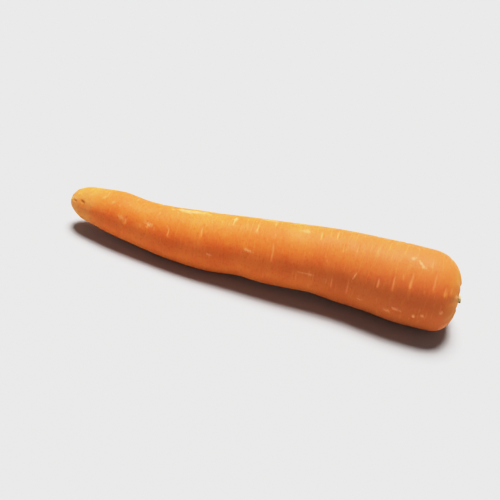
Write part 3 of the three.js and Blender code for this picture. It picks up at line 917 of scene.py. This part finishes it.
# %% [markdown]
# ## The skin's sheen and depth
# Roughness rises wherever the skin is dry: on cork, scuffs and the tail's end. Under the surface
# red light reaches about four times as deep as green. The finest rings and pores are too small
# to be worth vertices, so a bump carries those.

# %% Give the skin its sheen, its depth and its grain
SKIN_BUMP = 0.22  # mm
SKIN_LIGHT = {"Subsurface Weight": 0.35, "Subsurface Radius": (1.0, 0.28, 0.08),
              "Subsurface Scale": 0.006, "IOR": 1.42, "Specular IOR Level": 0.14}

dryness = skin.sum((skin.ramp(skin.grain((1, 1, 1), 6, 3), 0.3, 0.7, 0.50, 0.62), 1),
                   (skin.number("cork"), 0.12), (skin.number("scuff"), 0.15),
                   (skin.number("tail_end"), 0.25))
skin.join(dryness, skin.shader.inputs["Roughness"])
for name, value in SKIN_LIGHT.items():
    skin.shader.inputs[name].default_value = value
skin.bump(skin.sum((rings, 0.8), (skin.grain((0.5, 0.5, 1), 0.7, 2), 0.5)), SKIN_BUMP)
root_mesh.materials.append(skin.material)
print("skin finished:", len(skin.tree.nodes), "nodes")

# %% [markdown]
# ## The stubs' flesh
# The stalk bases are yellow-green at the foot, where they are still alive, and have dried to olive
# and brown towards their cut ends. Fine fibres run up them. The same helpers do it, with noise
# that is stretched along the stalks instead of round the root.

# %% Colour the stubs
STALK_GREEN = (0.78, 0.64, 0.27)
STALK_YELLOW = (0.92, 0.72, 0.42)
STALK_OLIVE = (0.50, 0.41, 0.17)
CUT_BROWN = (0.30, 0.19, 0.085)
DARK_SPOT_BROWN = (0.11, 0.08, 0.02)
FLESH_BUMP = 0.25  # mm
FLESH_LIGHT = {"Roughness": 0.68, "Subsurface Weight": 0.15,
               "Subsurface Radius": (1.0, 0.8, 0.3), "Subsurface Scale": 0.0015}

flesh = Finish("leaf stalk flesh")
fibres = flesh.grain((1, 1, 0.15), 0.5, 3, 0.6)
blotches = flesh.ramp(flesh.grain((1, 1, 1), 1.6, 3), 0.4, 0.62)
colour = flesh.over(STALK_GREEN, STALK_YELLOW, flesh.ramp(fibres, 0.4, 0.62, 0, 0.8))
colour = flesh.over(colour, STALK_OLIVE, flesh.sum((blotches, 0.3),
                                                   (flesh.number("height"), 0.1)))
colour = flesh.over(colour, CUT_BROWN, flesh.sum((flesh.number("cut_end"), 0.7),
                                                 (blotches, 0.15)))
# the dark spot on one base
colour = flesh.over(colour, DARK_SPOT_BROWN, flesh.sum((flesh.number("bruise"), 0.85)))
flesh.join(colour, flesh.shader.inputs["Base Color"])
for name, value in FLESH_LIGHT.items():
    flesh.shader.inputs[name].default_value = value
flesh.bump(fibres, FLESH_BUMP)
stubs_mesh.materials.append(flesh.material)
print("stubs finished:", len(flesh.tree.nodes), "nodes")

# %% [markdown]
# ## The floor
# The carrot lies on a plain pale surface. A grid much larger than the carrot is enough, with its
# top exactly at height zero, where the root's two flats are.

# %% Lay the floor
FLOOR_REACH = 4  # metres to each side
PALE_GREY = (0.46, 0.46, 0.46, 1)

floor_bm = bmesh.new()
bmesh.ops.create_grid(floor_bm, x_segments=1, y_segments=1, size=FLOOR_REACH)
floor_mesh = bpy.data.meshes.new("floor")
floor_bm.to_mesh(floor_mesh)
floor_bm.free()
floor = bpy.data.objects.new("floor", floor_mesh)
bpy.context.scene.collection.objects.link(floor)

card = Finish("pale card")
card.shader.inputs["Base Color"].default_value = PALE_GREY
card.shader.inputs["Roughness"].default_value = 0.9
floor_mesh.materials.append(card.material)
print("floor at z", floor_mesh.vertices[0].co.z)

# %% [markdown]
# ## Soft light from above
# One large soft light shines from above and a little behind, so that the top is bright, the side
# towards the viewer turns into shade about halfway down, and the shadow on the floor has a soft
# edge. A sun lamp with a wide disc does what a large soft box far away would do, and it lights
# the floor evenly as far as the horizon. The sky fills the shade: it is bright low down, so that
# the floor runs into it unseen, and much dimmer overhead.

# %% Set the lights
LIGHT_COMES_FROM = Vector((-0.08, 0.28, 0.95))
LIGHT_STRENGTH = 7.1
LIGHT_WIDTH = math.radians(28)
SKY_BAND = (0.1, 0.26, 1.05, 0.12)  # from and to this height, the sky dims from this to that

sun = bpy.data.lights.new("wide soft sun", "SUN")
sun.energy = LIGHT_STRENGTH
sun.angle = LIGHT_WIDTH
hung = bpy.data.objects.new("wide soft sun", sun)
hung.rotation_euler = (-LIGHT_COMES_FROM).to_track_quat("-Z", "Y").to_euler()
bpy.context.scene.collection.objects.link(hung)

surroundings = bpy.data.worlds.new("pale surroundings")
surroundings.use_nodes = True
sky = surroundings.node_tree
direction = sky.nodes.new("ShaderNodeTexCoord").outputs["Generated"]
height = sky.nodes.new("ShaderNodeSeparateXYZ")
band = sky.nodes.new("ShaderNodeMapRange")
band.interpolation_type = "SMOOTHSTEP"
for socket, value in zip(band.inputs[1:5], SKY_BAND):
    socket.default_value = value
sky.links.new(direction, height.inputs[0])
sky.links.new(height.outputs["Z"], band.inputs[0])
sky.links.new(band.outputs[0], sky.nodes["Background"].inputs["Strength"])
sky.nodes["Background"].inputs["Color"].default_value = (1, 1, 1, 1)
bpy.context.scene.world = surroundings

# %% [markdown]
# ## A film curve
# The lit side of an orange thing is far brighter in red than in green. A camera rolls each colour
# off gently as it nears white, so that side turns from red-orange to yellow-orange instead of
# burning out. Blender's ready-made Filmic and AgX views do this too, but they also grey the
# orange. Here the plain Standard view gets a curve of its own, a flat S, which takes in light up
# to 2.5 times white. It leaves the middle tones about where they are, deepens the darkest a
# little, and rolls off everything brighter.

# %% Bend the tones over
BRIGHTEST = 2.5
FILM_CURVE = ((0.04, 0.085), (0.1, 0.26), (0.16, 0.42), (0.28, 0.69),
              (0.45, 0.83), (0.7, 0.91))  # light in, as a share of the brightest, and tone out

tone = bpy.context.scene.view_settings
tone.view_transform = "Standard"
tone.use_curve_mapping = True
tone.curve_mapping.white_level = (BRIGHTEST, BRIGHTEST, BRIGHTEST)
all_colours = tone.curve_mapping.curves[3]
for light_in, tone_out in FILM_CURVE:
    all_colours.points.new(light_in, tone_out)
tone.curve_mapping.update()
print("film curve points:", len(all_colours.points))

# %% [markdown]
# ## The camera
# The view is from the front and above, a little round towards the crown, and the camera is held
# slightly tilted, so that the carrot slopes down to the right. A lens of about 60 mm, 43 cm away
# from the middle of the carrot, shows it with mild perspective, as from across a table.

# %% Place the camera
VIEW_ROUND = math.radians(12.8)
VIEW_ABOVE = math.radians(33)
CAMERA_TILT = math.radians(9)
CAMERA_PLACE = Vector((0.0769, -0.3536, 0.2485))
LENS = 60.72
SENSOR_WIDTH = 36
NEAREST_SEEN = 0.01

forward = Vector((-math.sin(VIEW_ROUND) * math.cos(VIEW_ABOVE),
                  math.cos(VIEW_ROUND) * math.cos(VIEW_ABOVE), -math.sin(VIEW_ABOVE)))
level_right = Vector((math.cos(VIEW_ROUND), math.sin(VIEW_ROUND), 0))
right = Matrix.Rotation(-CAMERA_TILT, 3, forward) @ level_right
up = right.cross(forward)
camera = bpy.data.objects.new("camera", bpy.data.cameras.new("camera"))
camera.matrix_world = Matrix.Translation(CAMERA_PLACE) @ Matrix(
    (right, up, -forward)).transposed().to_4x4()
camera.data.sensor_width = SENSOR_WIDTH
camera.data.lens = LENS
camera.data.clip_start = NEAREST_SEEN
bpy.context.scene.collection.objects.link(camera)
bpy.context.scene.camera = camera
print("camera right", [round(v, 3) for v in right], "up", [round(v, 3) for v in up])

# %% [markdown]
